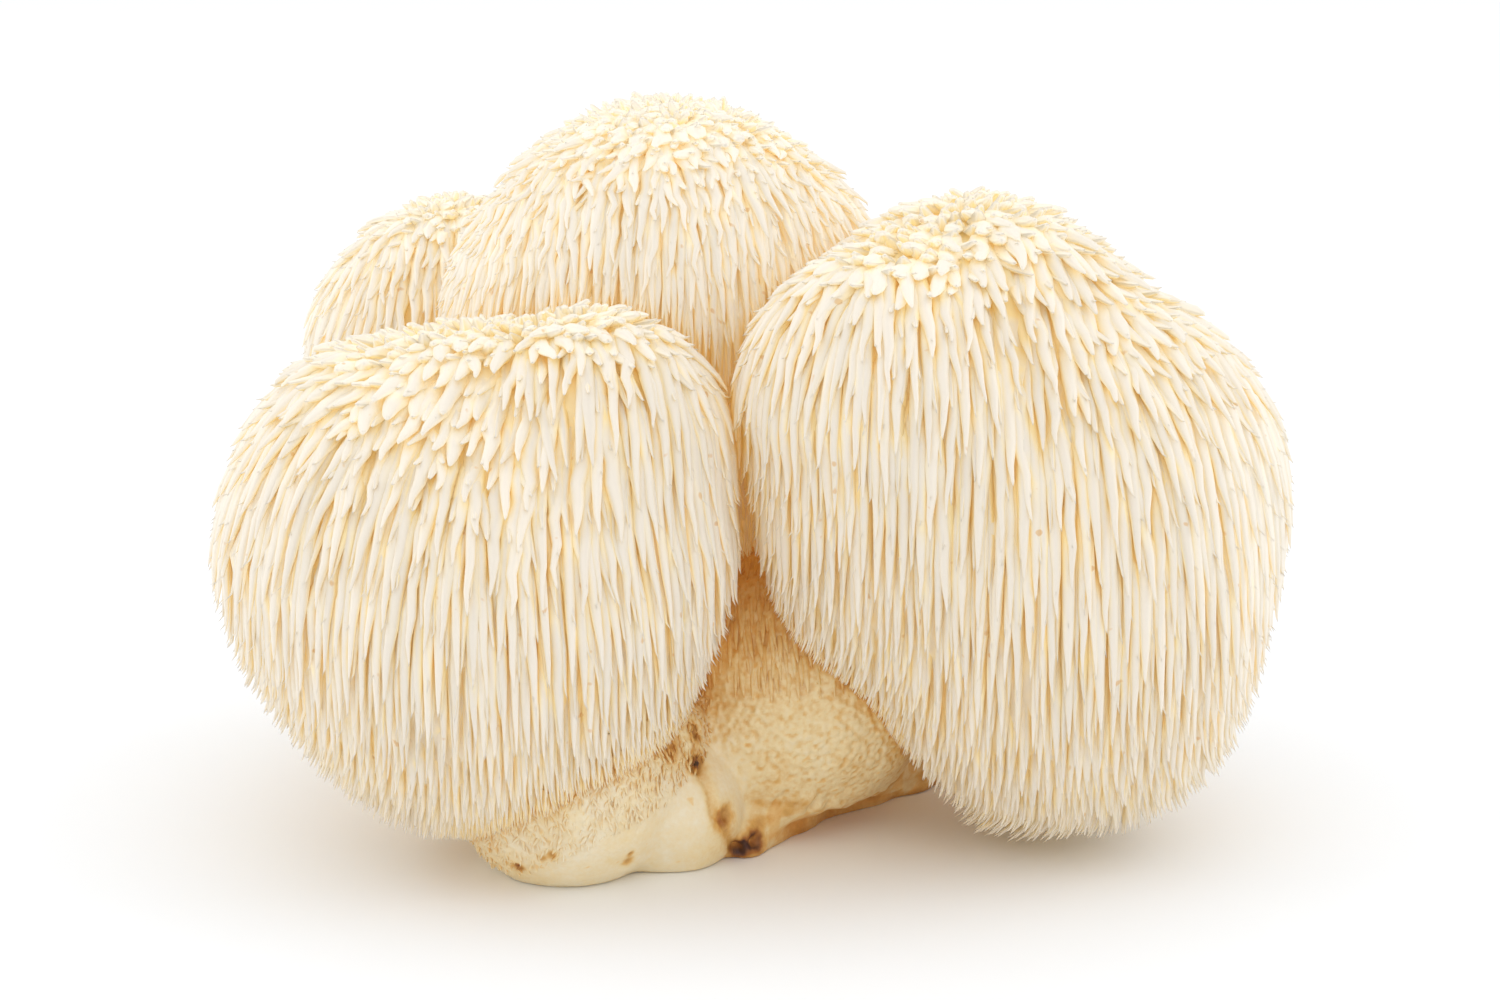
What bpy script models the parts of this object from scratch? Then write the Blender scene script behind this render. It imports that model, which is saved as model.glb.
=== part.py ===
"""Lion's mane mushroom: one fruiting body, grown as a cluster of rounded lobes.

Every lobe is clothed in hanging spines, and all of them rise from one short
foot, which is cut off flat where it was taken from what it grew on.

Frame: metres, +Z up.  The flat cut lies on Z = 0 with the origin on it, under
the middle of the cluster.  +X runs along the longest extent, and -Y is the side
where the foot shows between the two large lobes.
"""
import math

import bmesh
import bpy
import numpy as np
from mathutils import Vector, noise
from mathutils.bvhtree import BVHTree

# ---------------------------------------------------------------- driving sizes
# Lengths are in millimetres here and are turned into metres by MM.
MM = 0.001

# Lobes: each is a few round swellings grown into one, as (centre x, y, z, radius).
FRONT_LEFT_LOBE = (
    (-34.5, -13.5, 40.6, 35.8),
    (-14.5, -13.0, 51.0, 20.5),
    (-50.5, -7.0, 50.0, 30.5),
    (-54.0, 4.0, 62.0, 22.0),
    (-16.5, -10.0, 69.5, 23.0),
    (-36.5, -2.0, 67.0, 21.0),
)
RIGHT_LOBE = (
    (58.0, 2.0, 51.5, 38.6),
    (61.5, -4.0, 34.0, 31.6),
    (33.0, -8.0, 52.5, 23.0),
    (30.5, -8.0, 76.0, 26.0),
    (46.0, 10.0, 75.5, 32.0),
    (68.5, 6.0, 61.0, 29.5),
)
TOP_LOBE = (
    (-6.0, 30.0, 87.0, 33.0),
    (-20.0, 30.0, 80.0, 25.5),
    (11.0, 36.0, 87.0, 20.5),
    (0.0, 38.0, 52.0, 34.0),
)
BACK_LEFT_LOBE = (
    (-48.0, 52.0, 71.0, 23.0),
    (-42.5, 50.0, 79.5, 19.5),
    (-38.0, 44.0, 46.0, 33.0),
)
BACK_RIGHT_LOBE = (
    (22.0, 46.0, 50.0, 37.0),
    (38.0, 42.0, 40.0, 30.0),
)
# The foot: a pale lump under the front left lobe, a mound between the two large
# lobes, a low strip under it, a small brown lump, and flesh behind them.
FOOT = (
    (-22.0, -17.4, 15.0, 18.7),
    (-5.2, -12.7, 8.0, 12.0),
    (-10.5, -12.0, 20.0, 11.3),
    (16.0, 9.5, 24.0, 24.0),
    (9.5, 1.0, 18.0, 14.2),
    (9.5, 3.2, 4.5, 14.9),
    (20.5, 17.0, 5.5, 15.2),
    (31.0, 27.5, 6.0, 13.4),
    (7.4, -11.6, 1.5, 3.4),
    (0.0, 28.0, 16.0, 27.0),
    (-20.0, 14.0, 16.0, 25.0),
)
BLEND = 3.5             # how softly the swellings of one lobe run together
FOOT_BLEND = 1.2        # the same for the foot, whose creases show
HANG_BLEND = 5.0        # the same for the directions that the spines take, which vary slowly
SKIN_DEPTH = 2.0        # the skin that the spines stand on lies this far inside the swellings

# Spines: the solid carries one for every few of the real ones.
SPINE_WIDTH = 5.1       # spacing of the spines' roots across the fall line
SPINE_RUN = 10.6        # spacing of their roots down the fall line
CROWN_SPACING = 6.6     # spacing on the crown, where they are short and knobbly
CROWN_ANGLE = 32.0      # degrees from the lobe's axis where the crown ends
CROWN_FADE = (0.5, 1.5)  # shares of that angle over which crown spacing turns to flank spacing
CROWN_ROW = 0.87        # spacing of the crown's rows, as a share of the spacing along them
FIRST_ROW = 0.7         # the first row's distance from the axis, the same way
LAST_ROW = 0.5          # the last row's distance from the bottom, as a share of SPINE_RUN
FEWEST = 5              # spines in the smallest row
SPINE_PROUD = 2.3       # how far a tip stands off the lobe
SPINE_DROP = 10.5       # how far a tip hangs below its root on the flank
BOTTOM_DROP = 4.0       # the same at the bottom of a lobe
BOTTOM_FADE = (0.25, 0.95)  # how far the skin faces down where one turns into the other
ROOT_JITTER = 0.2       # scatter of the roots, as a share of their spacing
LENGTH_JITTER = 0.25    # scatter of the spines' lengths
SHORTEST = 0.05         # a root whose spine would be shorter than this stays bare
CROSSING_ROUNDS = 12    # times that crossing spines are looked for and drawn back
DRAW_BACK = 0.3         # share of their length that they lose each time
CLEFT_GAP = 5.0         # spines shorten to nothing this near another lobe
SLOPE_STEP = 0.05       # how far apart the distance is read for its slope
SEARCH_ROUNDS = 60      # steps of the search for the skin along a ray
SEARCH_SHARE = 0.9      # share of the distance that each step covers
RING_SWELL = 1.1        # a lobe's rings are spaced for a ball this much larger than its largest
GROUND_GAP = 0.4        # no tip comes nearer than this to the surface below

# Foot: smooth lumpy flesh with a few dark pits, as (x, y, z, radius).
FOOT_DETAIL = 4         # times the foot's first ball is divided
FOOT_ROUGHNESS = 0.5    # height of its small lumps
FOOT_LUMP_SIZE = 7.0    # spacing of those lumps
PITS = (
    (6.3, -15.3, 1.9, 1.3),
    (9.6, -14.3, 2.6, 1.5),
    (-0.4, -19.1, 18.1, 1.5),
)

CREAM = (0.88, 0.74, 0.53, 1.0)
ROUGHNESS = 0.62
SEED = 7


# ------------------------------------------------------------- shape of a lobe
def distance(points, swellings, blend=None):
    """Signed distance from points to a lobe's or the foot's skin, its swellings blended."""
    if blend is None:
        blend = FOOT_BLEND if swellings is FOOT else BLEND
    gaps = np.stack([np.linalg.norm(points - np.array(s[:3]), axis=-1) - s[3] for s in swellings])
    nearest = gaps.min(axis=0)
    return nearest - blend * np.log(np.exp((nearest - gaps) / blend).sum(axis=0))


def middle(swellings):
    """The point a lobe is drawn around: its swellings' centres, weighed by volume."""
    table = np.array(swellings)
    weight = table[:, 3:] ** 3
    return (table[:, :3] * weight).sum(axis=0) / weight.sum()


def on_skin(directions, centre, swellings, depth=0.0):
    """Where rays from far outside towards the centre reach a depth inside the swellings."""
    reach = max(np.linalg.norm(np.array(s[:3]) - centre) + s[3] for s in swellings)
    travel = np.full(len(directions), reach + BLEND * math.log(len(swellings)))
    for _ in range(SEARCH_ROUNDS):
        points = centre + directions * travel[:, None]
        travel = np.maximum(travel - SEARCH_SHARE * (distance(points, swellings) + depth), 1.0)
    return centre + directions * travel[:, None]


def outward(points, swellings, blend=None):
    """Unit normals of the lobe's skin, from the slope of the distance."""
    slopes = [distance(points + SLOPE_STEP * axis, swellings, blend)
              - distance(points - SLOPE_STEP * axis, swellings, blend) for axis in np.eye(3)]
    normals = np.stack(slopes, axis=-1)
    return normals / np.linalg.norm(normals, axis=-1, keepdims=True)


def smooth_step(value, low, high):
    share = np.clip((value - low) / (high - low), 0.0, 1.0)
    return share * share * (3.0 - 2.0 * share)


# ----------------------------------------------------------- spines of a lobe
def root_directions(radius, scatter):
    """Directions of the spines' corner points: rings that tighten across the fall line."""
    crown = math.radians(CROWN_ANGLE)
    row = CROWN_SPACING * CROWN_ROW
    angle = CROWN_SPACING * FIRST_ROW / radius
    directions = []
    while angle < math.pi - LAST_ROW * SPINE_RUN / radius:
        steep = smooth_step(angle, crown * CROWN_FADE[0], crown * CROWN_FADE[1])
        across = CROWN_SPACING + (SPINE_WIDTH - CROWN_SPACING) * steep
        down = row + (SPINE_RUN - row) * steep
        count = max(FEWEST, round(2 * math.pi * radius * math.sin(angle) / across))
        turn = scatter.random()
        for index in range(count):
            sway = scatter.uniform(-ROOT_JITTER, ROOT_JITTER, 2)
            around = 2 * math.pi * (index + turn + sway[0]) / count
            polar = angle + sway[1] * down / radius
            directions.append((math.sin(polar) * math.cos(around),
                               math.sin(polar) * math.sin(around), math.cos(polar)))
        angle += down / radius
    directions += [(0.0, 0.0, 1.0), (0.0, 0.0, -1.0)]
    return np.array(directions)


def spine_tips(roots, swellings, neighbours, scatter):
    """Tip of the spine on each root: proud of the skin and hanging down its slope."""
    normals = outward(roots, swellings, HANG_BLEND)
    down = np.array((0.0, 0.0, -1.0))
    fall = down - normals * (normals @ down)[:, None]
    low = smooth_step(-normals[:, 2], *BOTTOM_FADE)
    drop = SPINE_DROP + (BOTTOM_DROP - SPINE_DROP) * low
    hang = normals * SPINE_PROUD + fall * drop[:, None]
    room = np.min([distance(roots, other) for other in neighbours], axis=0)
    length = smooth_step(room, 0.0, CLEFT_GAP)
    length = length * (1 + scatter.uniform(-LENGTH_JITTER, LENGTH_JITTER, len(roots)))
    sinking = np.maximum(-hang[:, 2], 1e-6)
    length = np.minimum(length, np.maximum(roots[:, 2] - GROUND_GAP, 0.0) / sinking)
    return roots + hang * length[:, None], length


def spiny_lobe(name, swellings, neighbours, collection):
    """A closed lobe whose triangles each rise into a three-sided hanging spine."""
    scatter = np.random.default_rng(SEED)
    centre = middle(swellings)
    radius = max(s[3] for s in swellings) * RING_SWELL
    shape = bmesh.new()
    for direction in root_directions(radius, scatter):
        shape.verts.new(direction)
    bmesh.ops.convex_hull(shape, input=shape.verts, use_existing_faces=False)
    directions = np.array([corner.co.normalized()[:] for corner in shape.verts])
    skin = on_skin(directions, centre, swellings, SKIN_DEPTH)
    for corner, point in zip(shape.verts, skin):
        corner.co = Vector(point)
    shape.faces.ensure_lookup_table()
    roots = np.array([face.calc_center_median()[:] for face in shape.faces])
    tips, lengths = spine_tips(roots, swellings, neighbours, scatter)
    spines = {}
    for face, root, tip, length in zip(list(shape.faces), roots, tips, lengths):
        if length > SHORTEST:
            corner = bmesh.ops.poke(shape, faces=[face])["verts"][0]
            corner.co = Vector(tip)
            spines[corner] = Vector(root)
    part_crossing_spines(shape, spines)
    return finished_shape(name, shape, collection)


def part_crossing_spines(shape, spines):
    """Draw back the tips of spines that would cut through one another."""
    for _ in range(CROSSING_ROUNDS):
        shape.faces.ensure_lookup_table()
        tree = BVHTree.FromBMesh(shape)
        crossing = set()
        for one, two in tree.overlap(tree):
            corners = set(shape.faces[one].verts)
            if corners.isdisjoint(shape.faces[two].verts):
                crossing |= corners & spines.keys()
        for corner in crossing:
            corner.co = corner.co.lerp(spines[corner], DRAW_BACK)
        if not crossing:
            return


# ------------------------------------------------------------------- the foot
def foot(name, collection):
    """The smooth foot, lumpy and cut off flat on the surface it stands on."""
    centre = middle(FOOT)
    shape = bmesh.new()
    bmesh.ops.create_icosphere(shape, subdivisions=FOOT_DETAIL, radius=1.0)
    directions = np.array([corner.co.normalized()[:] for corner in shape.verts])
    skin = on_skin(directions, centre, FOOT)
    for corner, point, normal in zip(shape.verts, skin, outward(skin, FOOT)):
        lump = noise.noise(Vector(point) / FOOT_LUMP_SIZE) * FOOT_ROUGHNESS
        corner.co = Vector(point + normal * lump)
    everything = list(shape.verts) + list(shape.edges) + list(shape.faces)
    bmesh.ops.bisect_plane(shape, geom=everything, plane_co=(0, 0, 0), plane_no=(0, 0, 1),
                           clear_inner=True)
    rim = [edge for edge in shape.edges if edge.is_boundary]
    bmesh.ops.holes_fill(shape, edges=rim, sides=0)
    return finished_shape(name, shape, collection)


def pit(name, place, collection):
    """A round cutter for one dark pit in the foot."""
    shape = bmesh.new()
    bmesh.ops.create_icosphere(shape, subdivisions=2, radius=place[3])
    bmesh.ops.translate(shape, verts=shape.verts, vec=Vector(place[:3]))
    return finished_shape(name, shape, collection)


# ------------------------------------------------------------------- assembly
def finished_shape(name, shape, collection):
    """Turn a shape worked in millimetres into an object in metres."""
    bmesh.ops.recalc_face_normals(shape, faces=shape.faces)
    bmesh.ops.scale(shape, verts=shape.verts, vec=Vector((MM, MM, MM)))
    mesh = bpy.data.meshes.new(name)
    shape.to_mesh(mesh)
    shape.free()
    thing = bpy.data.objects.new(name, mesh)
    collection.objects.link(thing)
    return thing


def new_collection(name):
    collection = bpy.data.collections.new(name)
    bpy.context.scene.collection.children.link(collection)
    return collection


def boolean(thing, operation, collection):
    """Join or cut the thing with everything in a collection, and apply it."""
    change = thing.modifiers.new(operation.lower(), "BOOLEAN")
    change.operation = operation
    change.operand_type = "COLLECTION"
    change.collection = collection
    change.solver = "EXACT"
    change.use_self = True
    seen = thing.evaluated_get(bpy.context.evaluated_depsgraph_get())
    mesh = bpy.data.meshes.new_from_object(seen)
    thing.modifiers.clear()
    thing.data = mesh


def keep_outer_skin(thing):
    """Delete the skins of sealed pockets, left where the lobes grew together."""
    shape = bmesh.new()
    shape.from_mesh(thing.data)
    bmesh.ops.triangulate(shape, faces=shape.faces)
    waiting = set(shape.faces)
    skins = []
    while waiting:
        front = [waiting.pop()]
        skin = []
        while front:
            face = front.pop()
            skin.append(face)
            for edge in face.edges:
                for other in edge.link_faces:
                    if other in waiting:
                        waiting.discard(other)
                        front.append(other)
        skins.append(skin)
    skins.sort(key=len)
    for skin in skins[:-1]:
        bmesh.ops.delete(shape, geom=skin, context="FACES")
    shape.to_mesh(thing.data)
    shape.free()


def flesh_material():
    material = bpy.data.materials.new("mushroom_flesh")
    material.use_nodes = True
    shader = material.node_tree.nodes["Principled BSDF"]
    shader.inputs["Base Color"].default_value = CREAM
    shader.inputs["Roughness"].default_value = ROUGHNESS
    shader.inputs["Metallic"].default_value = 0.0
    return material


def build():
    for thing in list(bpy.data.objects):
        bpy.data.objects.remove(thing, do_unlink=True)
    parts = new_collection("lions_mane_mushroom")
    lobes = new_collection("lobes_to_join")
    pits = new_collection("pit_cutters")

    mushroom = foot("mushroom", parts)
    for index, place in enumerate(PITS):
        pit("pit_%d" % index, place, pits)
    boolean(mushroom, "DIFFERENCE", pits)

    clusters = {"front_left_lobe": FRONT_LEFT_LOBE, "right_lobe": RIGHT_LOBE,
                "top_lobe": TOP_LOBE, "back_left_lobe": BACK_LEFT_LOBE,
                "back_right_lobe": BACK_RIGHT_LOBE}
    for name, swellings in clusters.items():
        others = [other for other in clusters.values() if other is not swellings] + [FOOT]
        spiny_lobe(name, swellings, others, lobes)
    boolean(mushroom, "UNION", lobes)
    keep_outer_skin(mushroom)

    mushroom.data.materials.clear()
    mushroom.data.materials.append(flesh_material())
    for guide in list(lobes.objects) + list(pits.objects):
        guide.hide_render = True
        guide.display_type = "WIRE"


build()
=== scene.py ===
"""Lion's mane mushroom: the looks of one whole fruiting body.

Soft flesh makes the foot and the core of every lobe.  Thousands of hanging
spines, laid over one another like thatch and joined lobe by lobe, make the
rest.  Shapes are worked in millimetres, in the frame's own axes, and turned
into metres at the end.
"""
import math

import bmesh
import bpy
import numpy as np
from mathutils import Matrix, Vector, noise


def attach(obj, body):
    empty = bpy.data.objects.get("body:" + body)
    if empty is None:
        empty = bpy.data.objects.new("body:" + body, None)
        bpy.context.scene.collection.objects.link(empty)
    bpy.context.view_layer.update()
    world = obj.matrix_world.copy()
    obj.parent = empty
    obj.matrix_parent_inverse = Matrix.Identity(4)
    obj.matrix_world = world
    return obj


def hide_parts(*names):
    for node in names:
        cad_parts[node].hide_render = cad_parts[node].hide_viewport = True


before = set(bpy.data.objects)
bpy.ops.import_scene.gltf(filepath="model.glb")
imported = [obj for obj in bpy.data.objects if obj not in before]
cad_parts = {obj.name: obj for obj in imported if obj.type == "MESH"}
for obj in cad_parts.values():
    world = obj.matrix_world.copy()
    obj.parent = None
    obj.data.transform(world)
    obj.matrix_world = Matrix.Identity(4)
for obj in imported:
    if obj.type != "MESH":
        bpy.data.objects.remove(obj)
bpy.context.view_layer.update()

MM = 0.001

# ------------------------------------------------------------ form of the mushroom
# The lobes and the foot are the frame's: round swellings grown together, as
# (centre x, y, z, radius) in millimetres.
FRONT_LEFT_LOBE = (
    (-34.5, -13.5, 40.6, 35.8),
    (-14.5, -13.0, 51.0, 20.5),
    (-50.5, -7.0, 50.0, 30.5),
    (-54.0, 4.0, 62.0, 22.0),
    (-16.5, -10.0, 69.5, 23.0),
    (-36.5, -2.0, 67.0, 21.0),
)
RIGHT_LOBE = (
    (58.0, 2.0, 51.5, 38.6),
    (61.5, -4.0, 34.0, 31.6),
    (33.0, -8.0, 52.5, 23.0),
    (30.5, -8.0, 76.0, 26.0),
    (46.0, 10.0, 75.5, 32.0),
    (68.5, 6.0, 61.0, 29.5),
)
TOP_LOBE = (
    (-6.0, 30.0, 87.0, 33.0),
    (-20.0, 30.0, 80.0, 25.5),
    (11.0, 36.0, 87.0, 20.5),
    (0.0, 38.0, 52.0, 34.0),
)
BACK_LEFT_LOBE = (
    (-48.0, 52.0, 71.0, 23.0),
    (-42.5, 50.0, 79.5, 19.5),
    (-38.0, 44.0, 46.0, 33.0),
)
BACK_RIGHT_LOBE = (
    (22.0, 46.0, 50.0, 37.0),
    (38.0, 42.0, 40.0, 30.0),
)
# The foot: a pale lump under the front left lobe, a mound between the two large
# lobes, a low strip under it, a small brown lump, and flesh behind them.
FOOT = (
    (-22.0, -17.4, 15.0, 18.7),
    (-5.2, -12.7, 8.0, 12.0),
    (-10.5, -12.0, 20.0, 11.3),
    (16.0, 9.5, 24.0, 24.0),
    (9.5, 1.0, 18.0, 14.2),
    (9.5, 3.2, 4.5, 14.9),
    (20.5, 17.0, 5.5, 15.2),
    (31.0, 27.5, 6.0, 13.4),
    (7.4, -11.6, 1.5, 3.4),
    (0.0, 28.0, 16.0, 27.0),
    (-20.0, 14.0, 16.0, 25.0),
)
BLEND = 3.5             # how softly the swellings of one lobe run together
FOOT_BLEND = 1.2        # the same for the foot, whose creases show
FALL_BLEND = 9.0        # the same for the directions that spines fall in, which vary slowly

# Each lobe's swellings, how coarse its spines are, how long and how wavy, how much painted
# light lifts the gaps between them, and the pattern of its longest spines.
LOBES = {
    "front_left_lobe": {"form": FRONT_LEFT_LOBE, "coarse": 1.0, "long": 1.0, "wavy": 0.5,
                        "pale": 0.0, "pattern": "long"},
    "right_lobe": {"form": RIGHT_LOBE, "coarse": 1.0, "long": 1.0, "wavy": 0.35,
                   "pale": 0.0, "pattern": "long"},
    "top_lobe": {"form": TOP_LOBE, "coarse": 0.80, "long": 0.7, "wavy": 1.0,
                 "pale": 0.12, "pattern": "long"},
    "back_left_lobe": {"form": BACK_LEFT_LOBE, "coarse": 0.88, "long": 0.8, "wavy": 0.6,
                       "pale": 0.12, "pattern": "back"},
    "back_right_lobe": {"form": BACK_RIGHT_LOBE, "coarse": 0.95, "long": 0.9, "wavy": 0.4,
                        "pale": 0.0, "pattern": "back"},
}

# Spines change with the slope their tips lie on: 0 degrees is the crown, 90 the
# flank and 180 the underside.  Lengths, radii and spacings are millimetres.
SLOPES = (0, 20, 40, 65, 90, 103, 118, 140, 180)
SPINE_LENGTH = (11.0, 14.0, 22.0, 35.0, 40.0, 32.0, 22.0, 13.0, 9.0)
SPINE_RADIUS = (1.30, 1.35, 1.40, 1.34, 1.15, 1.00, 0.84, 0.66, 0.52)
SIDE_SPACING = (2.5, 2.5, 2.6, 2.5, 2.15, 1.75, 1.40, 1.12, 0.95)  # between tips, across the fall
FALL_SPACING = (3.6, 4.2, 6.2, 10.5, 10.0, 6.6, 4.2, 3.0, 2.6)     # and along it
LIFT = (1.0, 1.1, 1.1, 0.9, 0.6, 0.5, 0.35, 0.3, 0.2)              # how far tips may stand off
RISE = (0.34, 0.28, 0.18, 0.10, 0.07, 0.07, 0.07, 0.07, 0.07)      # how fast a spine sinks
FLESH_DEPTH = (3.4, 3.3, 3.2, 3.2, 3.4, 3.6, 3.6, 3.2, 2.6)
STATIONS = (0.0, 0.12, 0.25, 0.38, 0.51, 0.64, 0.77, 0.89, 0.97, 1.0)
PETAL = (0.9, 1.0, 1.08, 1.12, 1.12, 1.04, 0.89, 0.64, 0.36, 0.0)
STRAND = (0.95, 1.0, 1.02, 1.0, 0.95, 0.85, 0.67, 0.41, 0.19, 0.0)
LONG_SPINES = {"long": {"sides": 7, "stations": (0, 1, 2, 3, 4, 5, 6, 7, 8, 9)},
               "back": {"sides": 5, "stations": (0, 2, 3, 4, 5, 6, 7, 8, 9)}}
SHORT_SPINE = {"sides": 6, "stations": (0, 2, 4, 6, 7, 8, 9)}
UNDER_SPINE = {"sides": 4, "stations": (0, 3, 6, 8, 9)}
HAIR = {"sides": 5, "stations": (0, 4, 7, 9)}
HAIR_LIMIT = 5.0
SOFTNESS = (0.25, 0.6)  # how far the spines' shading follows the lobe, as in soft flesh
# Painted light: the crowns, which face the light above, and the outer sides, which face the side
# lights, have their gaps painted paler.
CROWN_PAINTED_LIGHT = 0.34       # how much paler the gaps are on the crowns
EDGE_PAINTED_LIGHT = 0.18        # and on the thin outer sides
SHORT_LIMIT = 11.0      # spines shorter than this take the plainer pattern
UNDER_THIN = 0.88       # the layer underneath is this much wider spaced
UNDER_DEPTH = (0.8, 1.5)  # and starts between these depths
HANG = (0.0, 2.2, 3.0, 2.0, 1.2)  # how far tips hang clear below the lobe
HANG_SLOPES = (86, 100, 120, 150, 180)
FLARE = 1.0             # how far tips on the crown bend away from it
FALL_STEPS = 30
CANDIDATES = 50000
HIDDEN_REACH = 14.0     # spines that would end this far inside a neighbour are drawn back to it
FADE = 9.0              # how far from the foot spines start to fade
SHORTEST = 2.0          # and left out where less than this is left of them
RIDGE = (0.5, 1.0, 1.0)  # crowns are ridges along X, so spines fall to the front and back
PARTING = (0.0, -0.32, 0.0)  # from a parting that lies behind the top
UP = np.array((0.0, 0.0, 1.0))

# The air round the spines, as a grid of cells that are flesh or not.
CELL = 0.6
AIR_LOW = np.array((-99.0, -79.0, -3.0))
AIR_HIGH = np.array((112.2, 91.4, 129.0))
COARSE = 4              # lobes and foot fill the grid in blocks of this many cells
RADIUS_STEPS = (0.0, 0.4, 0.7, 1.0, 1.3, 1.7, 2.2, 3.0)
NEAR_STEPS = (0.3, 0.9, 1.5, 2.2, 3.0, 4.0, 5.2)
FAR_STEPS = (5.2, 7.0, 9.5, 12.5, 16.5, 22.0)
WAYS = 26


# ------------------------------------------------------------ distance to the lobes
def distance(points, form, blend=None):
    """Signed distance from points to the outside of a lobe, with its swellings blended."""
    if blend is None:
        blend = FOOT_BLEND if form is FOOT else BLEND
    gaps = np.stack([np.linalg.norm(points - np.array(s[:3]), axis=-1) - s[3] for s in form])
    nearest = gaps.min(axis=0)
    return nearest - blend * np.log(np.exp((nearest - gaps) / blend).sum(axis=0))


def outward(points, form, blend=None):
    """Unit normals of a lobe, from the slope of the distance."""
    step = 0.05
    slopes = [distance(points + step * axis, form, blend)
              - distance(points - step * axis, form, blend) for axis in np.eye(3)]
    return unit(np.stack(slopes, axis=-1))


def unit(vectors):
    return vectors / np.maximum(np.linalg.norm(vectors, axis=-1, keepdims=True), 1e-9)


def middle(form):
    table = np.array(form)
    weight = table[:, 3:] ** 3
    return (table[:, :3] * weight).sum(axis=0) / weight.sum()


def on_skin(directions, form, depth):
    """Where rays from far outside towards the lobe's middle reach a depth inside it."""
    centre = middle(form)
    reach = max(np.linalg.norm(np.array(s[:3]) - centre) + s[3] for s in form)
    travel = np.full(len(directions), reach + BLEND * math.log(len(form)))
    for _ in range(60):
        points = centre + directions * travel[:, None]
        travel = np.maximum(travel - 0.9 * (distance(points, form) + depth), 1.0)
    return centre + directions * travel[:, None]


def slope_of(normals):
    return np.degrees(np.arccos(np.clip(normals[:, 2], -1, 1)))


def smooth_step(value, low, high):
    share = np.clip((value - low) / (high - low), 0.0, 1.0)
    return share * share * (3.0 - 2.0 * share)


def soft_noise(points, size, seed):
    """Smooth noise from -1 to 1 that changes over a size in millimetres."""
    shift = Vector((seed * 17.3, seed * 5.1, seed * 9.7))
    return np.array([noise.noise(Vector(p) / size + shift) for p in points])


# ------------------------------------------------------------ growing the spines
def foot_fade(points):
    """How much shorter and slimmer spines are where a lobe runs out on the foot."""
    near_foot = smooth_step(distance(points, FOOT), 0.0, FADE)
    return 0.14 + 0.86 * near_foot, 0.36 + 0.64 * near_foot


def thinned(points, normals, fall, side_gap, fall_gap):
    """Which points to keep for them to stand apart across the fall line and down it."""
    across = unit(np.cross(normals, fall))
    open_to = np.ones(len(points), bool)
    kept = []
    for index in range(len(points)):
        if not open_to[index]:
            continue
        kept.append(index)
        reach = fall_gap[index]
        near = np.flatnonzero(open_to & (np.abs(points[:, 2] - points[index, 2]) < reach))
        apart = points[near] - points[index]
        near = near[np.abs(apart).max(axis=1) < reach]
        apart = points[near] - points[index]
        side = apart @ across[index] / side_gap[index]
        down = apart @ fall[index] / fall_gap[index]
        open_to[near[side ** 2 + down ** 2 < 1.0]] = False
    return kept


def scattered_tips(lobe, neighbours, chance, thin):
    """Where the spines of a lobe end: even across the fall line and far apart down it."""
    form = lobe["form"]
    directions = unit(chance.normal(size=(CANDIDATES, 3)))
    points = on_skin(directions, form, 0.0)
    room = np.min([distance(points, other) for other in neighbours], axis=0)
    clear = (room > -HIDDEN_REACH) & (distance(points, FOOT) > 0.0) & (points[:, 2] > 0.6)
    points = points[clear]
    normals = outward(points, form)
    slope = slope_of(normals)
    fall = fall_way(points, form)
    shorter, slimmer = foot_fade(points)
    side_gap = np.interp(slope, SLOPES, SIDE_SPACING) * thin * lobe["coarse"] * slimmer
    fall_gap = np.interp(slope, SLOPES, FALL_SPACING) * thin * lobe["coarse"]
    fall_gap = np.maximum(fall_gap * lobe["long"] * shorter, side_gap)
    return points[thinned(points, normals, fall, side_gap, fall_gap)]


def fall_way(points, form):
    """The way spines fall: downhill, from a parting that runs behind the lobe's crown."""
    turned = unit(outward(points, form, FALL_BLEND) * np.array(RIDGE) + np.array(PARTING))
    return unit(turned * np.clip(turned[:, 2:], 0, None) - UP + 1e-6)


def climb(tips, lengths, radii, start, rise, leans, form):
    """Paths of spines from their tips up: over the lobe as a rope lies, sinking as they rise."""
    step = (lengths / FALL_STEPS)[:, None]
    point = tips.copy()
    heading = -fall_way(point, form)
    path = [point.copy()]
    for count in range(1, FALL_STEPS + 1):
        share = count / FALL_STEPS
        heading = unit(leans - fall_way(point, form) + heading * 0.35)
        ahead = point + heading * step
        body = np.interp(share, (0.0, 0.3, 1.0), (0.2, 0.85, 1.0))
        root = smooth_step(share, 0.75, 1.0) * 2.2
        sunk = start + rise * lengths * share + radii * body * 0.8 + root
        for _ in range(2):
            skin = outward(ahead, form, FALL_BLEND)
            give = -0.5 * step[:, 0] * np.clip(4 * skin[:, 2], 0, 1)
            push = np.clip(distance(ahead, form) + sunk, give, 0.6 * step[:, 0])
            ahead = ahead - skin * push[:, None]
        heading = unit(ahead - point)
        point = ahead
        path.append(point.copy())
    return np.stack(path, axis=1)


def trimmed(path, flesh, form, neighbours):
    """Paths cut where they enter a neighbour or lie well inside the flesh, and evened again."""
    count, steps = path.shape[:2]
    points = path.reshape(-1, 3)
    depth = -distance(points, form).reshape(count, steps)
    room = np.min([distance(points, other) for other in neighbours], axis=0).reshape(count, steps)
    first = np.where((room > -0.8).any(axis=1), (room > -0.8).argmax(axis=1), steps - 1)
    buried = depth > (flesh + 1.2)[:, None]
    buried &= np.arange(steps)[None, :] > first[:, None] + 3
    last = np.where(buried.any(axis=1), buried.argmax(axis=1), steps - 1)
    place = first[:, None] + np.linspace(0, 1, steps)[None, :] * (last - first)[:, None]
    low = np.minimum(place.astype(int), steps - 2)
    share = (place - low)[..., None]
    rows = np.arange(count)[:, None]
    return path[rows, low] * (1 - share) + path[rows, low + 1] * share


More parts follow.
